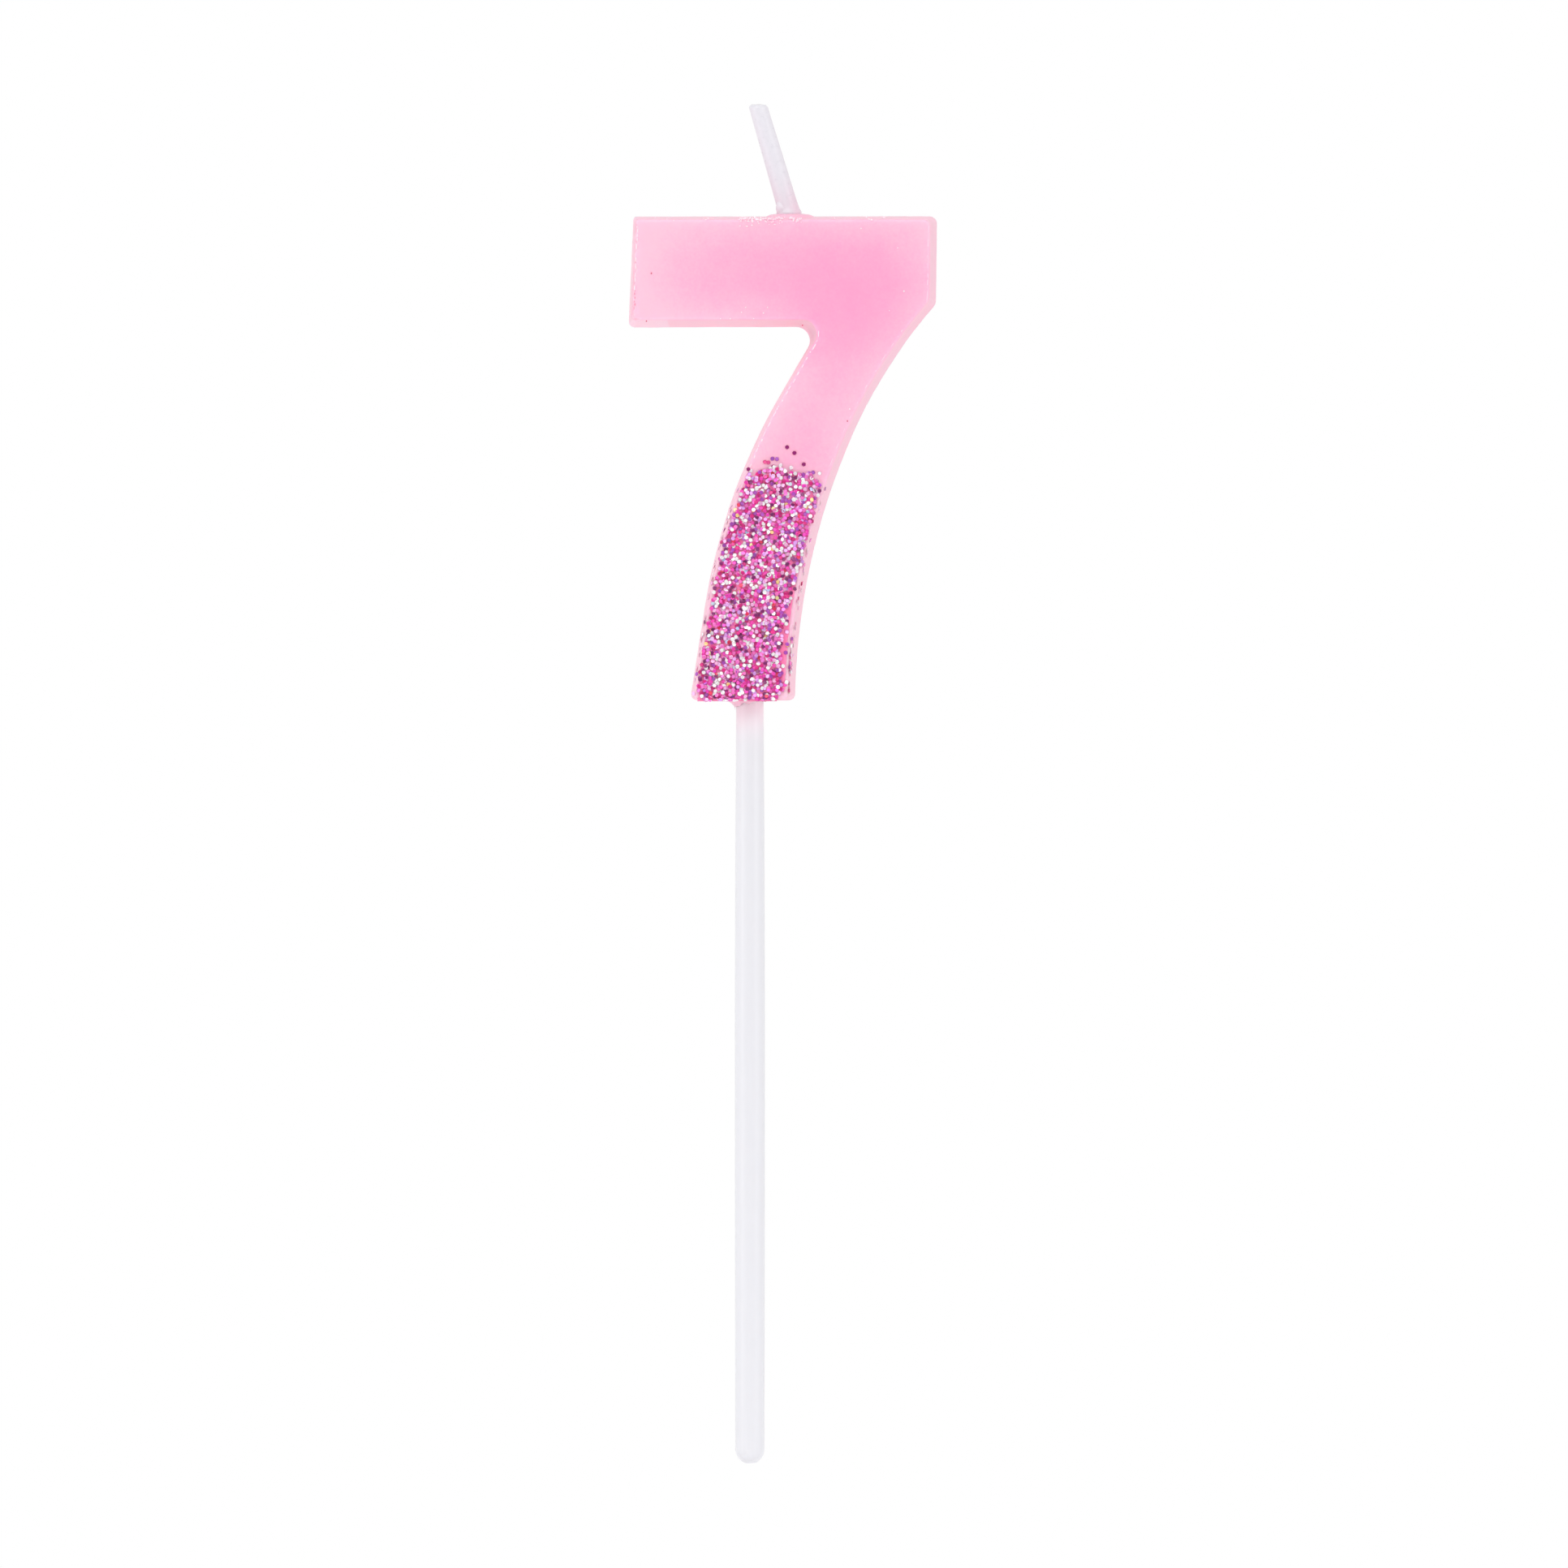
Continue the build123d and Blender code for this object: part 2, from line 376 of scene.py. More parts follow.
# %% Pale floor
floor_height = -115 * MM
floor_radius = 0.5
bpy.ops.mesh.primitive_circle_add(
    vertices=96, radius=floor_radius, fill_type="NGON", location=(0, 0, floor_height)
)
floor = bpy.context.active_object
floor.name = "floor"
floor_paint, shader = new_material("pale_floor")
mottle = shader.grain(40, 2.0)
shader.surface(
    Base_Color=shader.blend(mottle, rgb(236, 234, 236), rgb(242, 241, 243)),
    Roughness=0.8,
    Emission_Color=white,
    Emission_Strength=0.18,
)
floor.data.materials.append(floor_paint)

# %% [markdown]
# ## Measuring the frame
#
# Every new piece is placed from the CAD numeral, so it needs to be asked where its walls are. A
# ray sent sideways at a height tells where a wall stands and which way it faces there.

# %% Asking the CAD numeral where its walls are
far = 0.05  # rays start this far from the middle, well outside the candle


def tree_of(node):
    """A search tree of a CAD node's faces, which answers rays."""
    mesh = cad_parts[node].data
    places = [vertex.co.copy() for vertex in mesh.vertices]
    return BVHTree.FromPolygons(places, [tuple(face.vertices) for face in mesh.polygons])


wax_tree = tree_of("digit_wax")
wax_low, wax_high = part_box("digit_wax")
stick_low, stick_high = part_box("stick")
wick_low, wick_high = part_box("wick_coat")
front_y = wax_low.y
back_y = wax_high.y


def wall_point(side, y, z):
    """Where the outer wall is at this depth and height, and its normal. side is 1 on the right, else -1."""
    place, normal, _, _ = wax_tree.ray_cast(Vector((side * far, y, z)), Vector((-side, 0, 0)))
    return place, normal


def front_edge(side, z):
    """How far the flat front face reaches on one side at this height, along X."""
    return wall_point(side, front_y + 0.01 * MM, z)[0].x


print("front face at the foot in mm", [round(front_edge(side, 2 * MM) / MM, 2) for side in (-1, 1)])

# %% [markdown]
# ## The numeral
#
# The numeral is paraffin wax, dyed pink and poured into a one-sided mould. CAD gives the exact
# drafted shape with its small edge radii, but poured wax is never that crisp: it creeps along the
# wick and the stick before it sets, it sinks a little where it was poured, and its skin has a
# slow unevenness that soft light picks up.
#
# It could be sculpted, but a quicker way is to start from a copy of the CAD shape, press its two
# rings of crept wax to their real height, and let a voxel remesh melt all of it to one even
# skin. That skin has enough vertices to be pushed in and out by textures.

# %% Press the crept wax, then melt the copy to one skin
skin_step = 0.19 * MM
numeral_top = 49.8
wick_foot_x = 3.9
numeral = clean_copy("digit_wax", "numeral")


def press(chosen, keep, level):
    """Brings the chosen points closer to a level, in millimetres, and keeps this share of their distance."""
    select_points(numeral, chosen)
    in_edit_mode(
        numeral,
        lambda: bpy.ops.transform.resize(value=(1, 1, keep), center_override=(0, 0, level * MM)),
    )


# The wax ran down the left side of the stick, and much less at the front and the right.
for start_x, keep in ((-0.9, 0.45), (0.3, 0.5)):
    places = points_of(numeral)
    press((places[:, 2] < -0.001) & (places[:, 0] > start_x), keep, 0)

# Round the wick it stands up only a little, as a low skirt.
press(points_of(numeral)[:, 2] > numeral_top + 0.15, 0.42, numeral_top)
numeral = join_pieces([numeral], "numeral")
add_modifier(numeral, "melt", "REMESH", mode="VOXEL", voxel_size=skin_step, adaptivity=0.0)
add_modifier(numeral, "relax", "SMOOTH", factor=0.5, iterations=1)
places = points_of(numeral)
near_wick = np.clip(4.2 - np.abs(places[:, 0] - wick_foot_x), 0, 1)
near_top = np.clip((places[:, 2] - (numeral_top - 0.5)) / 0.3, 0, 1)
skirt_group = vertex_weights(numeral, "skirt", near_wick * near_top)
add_modifier(numeral, "soften_skirt", "SMOOTH", factor=0.5, iterations=14, vertex_group=skirt_group)
print("numeral faces", len(numeral.data.polygons))

# %% [markdown]
# ## How much wax surrounds a point
#
# Dyed wax looks deeper where light has more of it to cross, so the middle of the numeral is a
# deeper pink than its ends. A blurred silhouette says how much wax surrounds each point: it is
# high in the thick shoulder and low at corners. That number is painted on the skin, both for the
# colour and for the way the back sinks.

# %% Blur the silhouette
cell = 0.5 * MM
blur_reach = 4.0 * MM
margin = 3 * blur_reach
grid_x = np.arange(wax_low.x - margin, wax_high.x + margin, cell)
grid_z = np.arange(-margin, wax_high.z + margin, cell)
filled = np.zeros((len(grid_x), len(grid_z)))
for column, x in enumerate(grid_x):
    for row, z in enumerate(grid_z):
        hit = wax_tree.ray_cast(Vector((x, -far, z)), Vector((0, 1, 0)))
        filled[column, row] = hit[0] is not None and z > 0
offsets = np.arange(-margin, margin + cell, cell)
kernel = np.exp(-0.5 * (offsets / blur_reach) ** 2)
kernel /= kernel.sum()
surrounded = filled
for axis in (0, 1):
    surrounded = np.apply_along_axis(lambda line: np.convolve(line, kernel, "same"), axis, surrounded)


def wax_around(places_mm):
    """The blurred silhouette at these places."""
    column = (places_mm[:, 0] * MM - grid_x[0]) / cell
    row = (places_mm[:, 2] * MM - grid_z[0]) / cell
    left, down = np.floor(column).astype(int), np.floor(row).astype(int)
    across, up = column - left, row - down
    lower = surrounded[left, down] * (1 - across) + surrounded[left + 1, down] * across
    upper = surrounded[left, down + 1] * (1 - across) + surrounded[left + 1, down + 1] * across
    return lower * (1 - up) + upper * up


print("wax around, most", round(float(surrounded.max()), 3))

# %% [markdown]
# ## Unevenness
#
# Wax shrinks while it sets, so no face of it stays flat. Cloud textures push the skin in along
# its normals: a slow wave all over, a finer ripple on it, a hollow in the back where the wax
# sank, and small chips at the front edge of the left end. Vertex groups keep the hollow and the
# chips in their places.

# %% A slow wave, a ripple, the sunken back and the chipped end
def cloud(name, size_mm, depth=2, contrast=1.0):
    """A cloud texture whose blobs are about this size."""
    texture = bpy.data.textures.new(name, "CLOUDS")
    texture.noise_scale = size_mm * MM
    texture.noise_depth = depth
    texture.contrast = contrast
    return texture


def push(piece, texture, depth_mm, group="", mid_level=0.5):
    """Moves the skin along its normals by a texture. mid_level 1 only pushes in."""
    add_modifier(
        piece, texture.name, "DISPLACE", texture=texture, texture_coords="LOCAL",
        direction="NORMAL", strength=depth_mm * MM, mid_level=mid_level, vertex_group=group,
    )


places = points_of(numeral)
around = wax_around(places)
depth_share = (places[:, 1] * MM - front_y) / (back_y - front_y)
on_back = np.clip((depth_share - 0.97) / 0.02, 0, 1) * np.clip(around - 0.35, 0, 1) * 1.6
back_group = vertex_weights(numeral, "back", np.clip(on_back, 0, 1))
left_end = wax_low.x / MM + 1.35
end_wall = np.clip((left_end - places[:, 0]) / 0.5, 0, 1)
near_front = np.clip((0.22 - depth_share) / 0.12, 0, 1)
end_group = vertex_weights(numeral, "left_end", end_wall * near_front * (places[:, 2] > 38))

push(numeral, cloud("slow_unevenness", 5.0), 0.07, mid_level=0.85)
push(numeral, cloud("skin_ripple", 1.1), 0.022, mid_level=0.7)
push(numeral, cloud("poured_back", 6.0), 0.45, back_group, mid_level=1.0)
push(numeral, cloud("chipped_end", 0.55, 1, 2.4), 0.3, end_group, mid_level=0.95)

# Painted light: the numeral's left is painted paler than its right, as the light falls from the left.
# A band of the stem is painted paler than the rest.
places = points_of(numeral)
light_from_left = 0.008 * (places[:, 0] - 3)
pale_stem = 0.08 * np.exp(-(((places[:, 2] - 31) / 4.5) ** 2))
paint(numeral, "wax_around", wax_around(places) + light_from_left - pale_stem)
# Painted shade: walls that face sideways get a deeper pink, undersides most of all. The arm's underside near
# its left end is left out, so it stays pale where the light falls on it.
facing = np.array([vertex.normal for vertex in numeral.data.vertices])
shaded_wall = np.clip((0.75 - np.abs(facing[:, 1])) / 0.4, 0, 1) * np.where(facing[:, 2] < -0.6, 1.0, 0.65)
pale_patch = (places[:, 0] < -8.3) & (places[:, 2] < 39)  # the arm's underside, near its left end
paint(numeral, "wall", np.where(pale_patch, 0.0, shaded_wall))
smooth(numeral)
finish_piece(numeral, "pink_wax", "digit_wax")

# %% [markdown]
# ## Pink paraffin
#
# Wax lets light in and scatters it, so it gets subsurface scattering as well as a base colour.
# The painted number mixes a deep pink in the middle with a pale one at the ends, and it also holds
# painted light that is paler on the left. Soft noise adds the faint clouds of dye. A second painted
# number gives the side walls and undersides a deeper pink: painted shade. The gloss is satin, and a
# very fine bump breaks it up.

# %% Pink paraffin
pink_wax, shader = new_material("pink_paraffin")
deep_pink = rgb(255, 165, 203)
pale_pink = rgb(255, 199, 218)
# The third pink is painted shade for the side walls and undersides.
wall_shade_pink = rgb(255, 184, 205)
around = shader.painted("wax_around")
dye_clouds = shader.grain(3.0, 4.0)
leather = shader.grain(0.8, 3.0)
fine_grain = shader.grain(0.24, 3.0)
spots = (dye_clouds - 0.5) * 0.22 + (leather - 0.5) * 0.14 + (fine_grain - 0.5) * 0.26
deepness = (around + spots).step(0.38, 1.06)
# Painted shade: a deeper pink on the sideways walls and undersides.
shaded_wall = shader.painted("wall")
shader.surface(
    Base_Color=shader.blend(shaded_wall, shader.blend(deepness, pale_pink, deep_pink), wall_shade_pink),
    Roughness=0.33 + (dye_clouds - 0.5) * 0.12,
    IOR=1.44,
    Subsurface_Weight=0.5,
    Subsurface_Radius=(1.0, 0.55, 0.75),
    Subsurface_Scale=1.4 * MM,
    Normal=shader.bump(fine_grain, 0.006, shader.bump(leather, 0.012)),
)
dress(pink_wax, numeral)

# %% [markdown]
# ## The wick
#
# A birthday candle's wick is cotton that was pulled through wax, so what shows is a stiff white
# rod with a satin skin. It is a little thicker at its foot, its tip was snipped flat, and a drop
# of white wax hangs in front of the foot.
#
# Its walls between the yarns are too thin for a remesh, so it is built by hand: one ring is
# extruded along the wick, and each new ring gets the width that the CAD wick has there. The drop
# is added by a union, and the yarns cut their own room.

# %% Follow the CAD wick from its hidden end to its tip
wick_tree = tree_of("wick_coat")
wick_step = 0.22 * MM
cap_room = 0.02 * MM  # so that the first and last rays don't miss
flare_height, flare_reach, flare_most = 49.9, 0.32, 0.3


def wick_station(z):
    """The wick's ring at a height: height, middle x, half width and half depth, flared at the foot."""
    def outside(side):
        return wick_tree.ray_cast(Vector((side * far, 0, z)), Vector((-side, 0, 0)))[0].x

    left, right = outside(-1), outside(1)
    middle = (left + right) / 2
    front = wick_tree.ray_cast(Vector((middle, -far, z)), Vector((0, 1, 0)))[0].y
    flare = 1 + flare_most * math.exp(-abs(z / MM - flare_height) / flare_reach)
    return z, middle, (right - left) / 2 * flare, -front * flare


low_z, high_z = wick_low.z + cap_room, wick_high.z - cap_room
station_count = round((high_z - low_z) / wick_step)
wick_stations = [
    wick_station(low_z + (high_z - low_z) * step / station_count) for step in range(station_count + 1)
]
tip_z, tip_x, tip_across, tip_deep = wick_stations[-1]
print("wick stations", len(wick_stations), "half width at the tip in mm", round(tip_across / MM, 2))


# %% Extrude a ring again and again
def extrude_rings(stations, points, name, pointed=False):
    """
    Extrudes one ring of points through stations of (height, middle x, half width, half depth).
    Both ends are capped. A pointed piece has its last ring merged to one point.
    """
    z, middle, across, deep = stations[0]
    bpy.ops.mesh.primitive_circle_add(
        vertices=points, radius=1.0, fill_type="NGON", location=(middle, 0, z)
    )
    piece = bpy.context.active_object
    piece.scale = (across, deep, 1)
    pick_only(piece)
    bpy.ops.object.transform_apply(location=True, rotation=True, scale=True)
    bpy.ops.object.mode_set(mode="EDIT")
    bpy.ops.mesh.select_all(action="SELECT")
    for next_z, next_middle, next_across, next_deep in stations[1:]:
        step = (next_middle - middle, 0, next_z - z)
        bpy.ops.mesh.extrude_region_move(TRANSFORM_OT_translate={"value": step})
        size = (next_across / across, next_deep / deep, 1)
        bpy.ops.transform.resize(value=size, center_override=(next_middle, 0, next_z))
        z, middle, across, deep = next_z, next_middle, next_across, next_deep
    if pointed:
        bpy.ops.mesh.merge(type="CENTER")
    bpy.ops.mesh.select_all(action="SELECT")
    bpy.ops.mesh.normals_make_consistent(inside=False)
    bpy.ops.object.mode_set(mode="OBJECT")
    return join_pieces([piece], name)


# %% The waxed wick, with a blunted rim at its snipped tip
blunt = 0.08 * MM
wick_stations[-1] = (tip_z - blunt, tip_x, tip_across, tip_deep)
wick_stations.append((tip_z, tip_x, tip_across - blunt, tip_deep - blunt))
wick = extrude_rings(wick_stations, 48, "waxed_wick")

drop_place = Vector((3.32 * MM, -0.62 * MM, 50.35 * MM))
bpy.ops.mesh.primitive_uv_sphere_add(segments=32, ring_count=16, radius=1.0, location=drop_place)
drop = bpy.context.active_object
drop.scale = (0.62 * MM, 0.46 * MM, 0.95 * MM)
drop.rotation_euler.y = math.radians(-16)
drop = join_pieces([drop], "drop")
add_modifier(wick, "hang_the_drop", "BOOLEAN", operation="UNION", solver="EXACT", object=drop)
push(wick, cloud("wick_unevenness", 3.0, 1), 0.03, mid_level=1.0)
yarn_cutter = clean_copy("wick_yarns", "yarn_cutter")
add_modifier(wick, "room_for_yarns", "BOOLEAN", operation="DIFFERENCE", solver="EXACT", object=yarn_cutter)
for helper in (drop, yarn_cutter):
    bpy.data.objects.remove(helper)


def merge_slivers():
    """Merges the tiny edges that the booleans left, which would shade badly."""
    bpy.ops.mesh.select_all(action="SELECT")
    bpy.ops.mesh.remove_doubles(threshold=0.004 * MM)
    bpy.ops.mesh.dissolve_degenerate(threshold=0.004 * MM)
    bpy.ops.mesh.quads_convert_to_tris()


in_edit_mode(wick, merge_slivers)
smooth(wick, sharp_above=50)
finish_piece(wick, "wick_wax", "wick_coat")

# %% [markdown]
# ## White wax and cotton
#
# The wick's wax is white, with a pink at its foot, most of all on the right. A
# mask of the height and of the distance from the wick's leaning middle line mixes that pink in.
# The cotton shows only at the snipped tip, so it keeps its CAD shape and gets a rough, fibrous
# off-white.

# %% White wax with pink at its foot
white_wax, shader = new_material("white_wick_wax")
height = shader.height()
side = shader.node("ShaderNodeSeparateXYZ", {}, [shader.place()], "X") * (1 / MM)
wick_line = 4.12 - (height - 49.87) * 0.295  # the wick leans to the left by this slope
right_half = (side - wick_line).step(-0.2, 0.9)
mottle = shader.grain(0.5, 4.0)
pink_at_foot = height.step(54.5, 49.4) * (0.04 + right_half * 0.42) * (0.6 + mottle * 0.6)
plain = shader.blend(mottle, rgb(222, 220, 227), rgb(232, 230, 236))
shader.surface(
    Base_Color=shader.blend(pink_at_foot, plain, rgb(240, 190, 212)),
    Roughness=0.3 + (mottle - 0.5) * 0.2,
    IOR=1.44,
    Normal=shader.bump(mottle, 0.004),
)
dress(white_wax, wick)

# %% Cotton yarns, seen at the snipped tip
cotton, shader = new_material("spun_cotton")
fibre = shader.grain(0.06, 4.0)
shader.surface(
    Base_Color=shader.blend(fibre, rgb(206, 200, 192), rgb(246, 243, 238)),
    Roughness=0.9,
    Normal=shader.bump(fibre, 0.02),
)
dress(cotton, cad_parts["wick_yarns"])

# %% [markdown]
# ## The stick
#
# The stick is moulded white plastic, 3 mm thick with a domed tip. A real one isn't a perfect
# cylinder: it is thinnest where it enters the wax and swells slightly in the middle. Spinning a
# profile would do, but the rings that made the wick follow a profile just as well, so they are
# used again. The hidden end keeps its three grooves.

# %% The stick's radius at each height
root_radius, root_taper = 1.42, 0.07
neck_radius = 1.415
belly_radius = 1.545
tip_radius = 1.5
belly_depth, taper_length = 34, 42
groove_depth = 0.2
ring_gap, shaft_rings = 1.9, 41
stick_bottom = stick_low.z / MM
stick_top = stick_high.z / MM


def stick_radius(z):
    """The stick's radius at a height, in millimetres."""
    if z > 0:
        return root_radius - root_taper * z / stick_top
    if z > -belly_depth:
        return neck_radius + (belly_radius - neck_radius) * math.sin(-z / belly_depth * math.pi / 2)
    share = min(1, (-z - belly_depth) / taper_length)
    return belly_radius - (belly_radius - tip_radius) * share * share


# %% The stick, ring by ring
profile = [(stick_top, 1.05), (stick_top - 0.3, 1.35)]
for groove in (11.0, 7.5, 4.0):
    for away, share in ((0.4, 0), (0.2, 0.8), (0, 1), (-0.2, 0.8), (-0.4, 0)):
        z = groove + away
        profile.append((z, stick_radius(z) - groove_depth * share))
profile += [(-step * ring_gap, stick_radius(-step * ring_gap)) for step in range(shaft_rings)]
for angle in range(0, 90, 10):
    turn = math.radians(angle)
    dome_z = stick_bottom + tip_radius - tip_radius * math.sin(turn)
    profile.append((dome_z, tip_radius * math.cos(turn)))
stick_stations = [(z * MM, 0, radius * MM, radius * MM) for z, radius in profile]
stick = extrude_rings(stick_stations, 64, "plastic_stick", pointed=True)
push(stick, cloud("stick_unevenness", 12.0), 0.02, mid_level=1.0)
smooth(stick, sharp_above=50)
finish_piece(stick, "stick_plastic", "stick")

# %% [markdown]
# ## White plastic
#
# The plastic is a cool white that lets a little light in, with faint streaks along its length
# from moulding. Pink wax colours the light at the neck, so a pale pink is mixed in there.

# %% White plastic
white_plastic, shader = new_material("white_plastic")
height = shader.height()
mottle = shader.grain(1.6, 3.0)
streaks = shader.grain(0.35, 2.0, along_z=0.05)
pink_glow = height.step(-4.6, 0.2) * (0.8 + (mottle - 0.5) * 0.5)
plain = shader.blend(mottle * 0.6 + streaks * 0.4, rgb(225, 225, 229), rgb(228, 228, 232))
shader.surface(
    Base_Color=shader.blend(pink_glow, plain, rgb(252, 236, 243)),
    Roughness=0.3 + (mottle - 0.5) * 0.04,
    IOR=1.49,
    Subsurface_Weight=0.25,
    Subsurface_Radius=(1.0, 0.95, 0.9),
    Subsurface_Scale=0.5 * MM,
    Normal=shader.bump(streaks, 0.004),
)
dress(white_plastic, stick)

# %% [markdown]
# ## Glue for the glitter
#
# The glitter is held by a clear glue brushed over the lower half of the front. It wets the flakes
# and makes the wax under it a deeper, glossy pink, which shows where flakes are missing. It ends
# in a ragged line at the top and stops just short of the front edges.
#
# The film is a fine grid that is extruded back into the wax, so it is closed. Only the grid's
# middle is pushed out past the wax, so the film's edge is wherever its surface dives under.

# %% Where the glue reaches
glue_top_line = [
    (-2.2, 21.9), (-1.58, 22.3), (-0.67, 23.1), (0.5, 23.2), (1.75, 23.6), (2.58, 23.8), (4.25, 23.4),
    (5.08, 23.2), (5.5, 22.9), (6.33, 23.1), (7.0, 22.7), (7.6, 21.6),
]


def glue_top(x_mm):
    """The height of the glue's ragged top edge at this x, in millimetres."""
    return float(np.interp(x_mm, [x for x, _ in glue_top_line], [z for _, z in glue_top_line]))


def face_sides(z_mm):
    """How far the flat front face reaches left and right at this height, in millimetres."""
    return [front_edge(side, max(z_mm, 1.0) * MM) / MM for side in (-1, 1)]


def glue_sides(z_mm):
    """How far the glue reaches left and right at this height, in millimetres."""
    left, right = face_sides(z_mm)
    return left + 0.22, right - 0.12


def wiggle(x_mm, z_mm, size_mm, seed):
    """A smooth random number from -1 to 1 that changes over about size_mm."""
    return noise.noise(Vector((x_mm / size_mm, z_mm / size_mm, seed * 7.3)))


def inside_glue(x_mm, z_mm, ragged=0.22):
    """How deep inside the glued patch a place is, in millimetres. Negative is outside."""
    left, right = glue_sides(z_mm)
    bottom = 0.12 if x_mm < 2.6 else 0.12 + 0.85 * min(1, (x_mm - 2.6) / 0.9)
    inside = min(x_mm - left, right - x_mm, z_mm - bottom, glue_top(x_mm) - z_mm)
    return inside + ragged * wiggle(x_mm, z_mm, 0.9, 1)


# %% The glue film
film_step = 0.14
film_width, film_height = 14.6, 24.4
film_depth, film_swell = 0.15, 0.19
hidden_rim = 0.1
film_middle = Vector((0.9 * MM, front_y + 0.1 * MM, (film_height / 2 - 0.1) * MM))
bpy.ops.mesh.primitive_grid_add(
    x_subdivisions=round(film_width / film_step), y_subdivisions=round(film_height / film_step),
    size=1.0, location=film_middle, rotation=(math.radians(90), 0, 0),
)
film = bpy.context.active_object
film.scale = (film_width * MM, film_height * MM, 1)
film = join_pieces([film], "glue_film")


def room_at_edge(x_mm, z_mm):
    """How far a place is inside the front face's left and right edges, in millimetres."""
    left, right = face_sides(z_mm)
    return min(x_mm - left, right - x_mm)


def trim_and_thicken():
    """Deletes what is selected, and gives the rest of the sheet its depth."""
    bpy.ops.mesh.delete(type="VERT")
    bpy.ops.mesh.select_all(action="SELECT")
    bpy.ops.mesh.delete_loose(use_verts=True, use_edges=True, use_faces=False)
    bpy.ops.mesh.select_all(action="SELECT")
    bpy.ops.mesh.extrude_region_move(TRANSFORM_OT_translate={"value": (0, film_depth * MM, 0)})
    bpy.ops.mesh.select_all(action="SELECT")
    bpy.ops.mesh.normals_make_consistent(inside=False)


select_points(
    film, [inside_glue(x, z) < -0.5 or room_at_edge(x, z) < hidden_rim for x, _, z in points_of(film)]
)
in_edit_mode(film, trim_and_thicken)
places = points_of(film)
inside = np.array([inside_glue(x, z) for x, _, z in places])
swell = np.array([wiggle(x, z, 0.8, 2) for x, _, z in places])
edge_room = np.array([room_at_edge(x, z) - hidden_rim for x, _, z in places])
in_front = places[:, 1] < front_y / MM + 0.12
cover = np.clip(0.5 + inside / 0.35, 0, 1) * (0.75 + 0.25 * swell) * np.clip(edge_room / 0.18, 0, 1)
cover_group = vertex_weights(film, "cover", np.clip(cover * in_front, 0, 1))
add_modifier(
    film, "swell", "DISPLACE",
    direction="Y", strength=-film_swell * MM, mid_level=0.0, vertex_group=cover_group,
)
smooth(film)
finish_piece(film, "clear_glue", "glitter_glue")

# %% [markdown]
# ## Wet glue
#
# The glue is clear, so what shows is the wax that it wets. A glass film over the wax would be
# slow to render, so the film itself gets the deeper pink, under a glossy coat with lumps where
# the glue gathered.

# %% Wet glue over pink wax
wet_glue, shader = new_material("wet_glue")
lumps = shader.grain(0.8, 3.0)
fine = shader.grain(0.25, 2.0)
shader.surface(
    Base_Color=shader.blend(lumps, rgb(250, 112, 168), rgb(255, 140, 188)),
    Roughness=0.12 + (fine - 0.5) * 0.1,
    IOR=1.48,
    Coat_Weight=0.6,
    Coat_Roughness=0.06,
    Normal=shader.bump(lumps, 0.05, shader.bump(fine, 0.01)),
)
dress(wet_glue, film)

# %% [markdown]
# ## One flake of glitter
#
# Glitter is foil film cut into hexagons 0.4 mm across. Each flake is a mirror with a thin rim
# where the cutter pressed it down. One flake is modelled from a circle of six points: extruded
# for its thickness, then its top is inset and raised. Most rims get a darker, deeper pink:
# painted shade for the dark ring that a flake shows round its bright middle.

# %% Model one flake
flake_across = 0.4
flake_radius = flake_across / math.sqrt(3)
flake_thickness = 0.022
flake_rim = 0.055
rim_step = 0.014


def model_flake():
    """One hexagonal flake at the origin, with its top towards +Z."""
    bpy.ops.mesh.primitive_circle_add(
        vertices=6, radius=flake_radius * MM, fill_type="NGON", location=(0, 0, 0)
    )
    flake = bpy.context.active_object

    def thicken_and_inset():
        bpy.ops.mesh.select_all(action="SELECT")
        bpy.ops.mesh.extrude_region_move(TRANSFORM_OT_translate={"value": (0, 0, flake_thickness * MM)})
        bpy.ops.mesh.inset(thickness=flake_rim * MM, depth=0)
        bpy.ops.transform.translate(value=(0, 0, rim_step * MM))
        bpy.ops.mesh.select_all(action="SELECT")
        bpy.ops.mesh.normals_make_consistent(inside=False)

    in_edit_mode(flake, thicken_and_inset)
    return flake


flake = model_flake()
print("flake faces", len(flake.data.polygons))

# %% [markdown]
# ## Scattering
#
# A flake is dropped at a place, faces along a direction with some tilt, and gets its own colour
# from the mix in the jar: mostly magenta, pink and silver, some violet and lilac, and a few blue,
# gold and red ones. The silver-white and dark plum shares are partly painted reflection: they
# stand for flakes that mirror a lamp or the dark room in front. Instancing would be lighter, but
# joined copies stay one piece that can be exported, and each flake keeps its colour in a painted
# attribute.

# %% Colours of the mix
# The silver-white and dark plum shares are partly painted reflection of the lamps and the dark room.
flake_mix = [
    (9, (120, 26, 100)), (10, (168, 72, 180)), (11, (214, 24, 126)), (18, (248, 60, 178)),
    (19, (255, 116, 202)), (13, (255, 182, 230)), (24, (255, 250, 255)), (8, (228, 164, 244)),
    (1.4, (196, 212, 255)), (0.8, (255, 196, 130)), (0.5, (255, 236, 170)), (1.6, (220, 36, 80)),
]
# Most flake rims get painted shade: a share of their own colour, the rest this deep magenta.
painted_rim_shade = rgb(168, 14, 88)
rim_shades = (0.2, 0.3, 0.4, 0.55, 1.0)  # how much of its own colour a rim keeps
draw = random.Random(71)


def flake_colour():
    """One colour from the mix, a little lighter or darker than its neighbours."""
    colour = draw.choices([colour for _, colour in flake_mix], [weight for weight, _ in flake_mix])[0]
    shift = draw.uniform(0.92, 1.14)
    return rgb(*(min(255, channel * shift) for channel in colour))


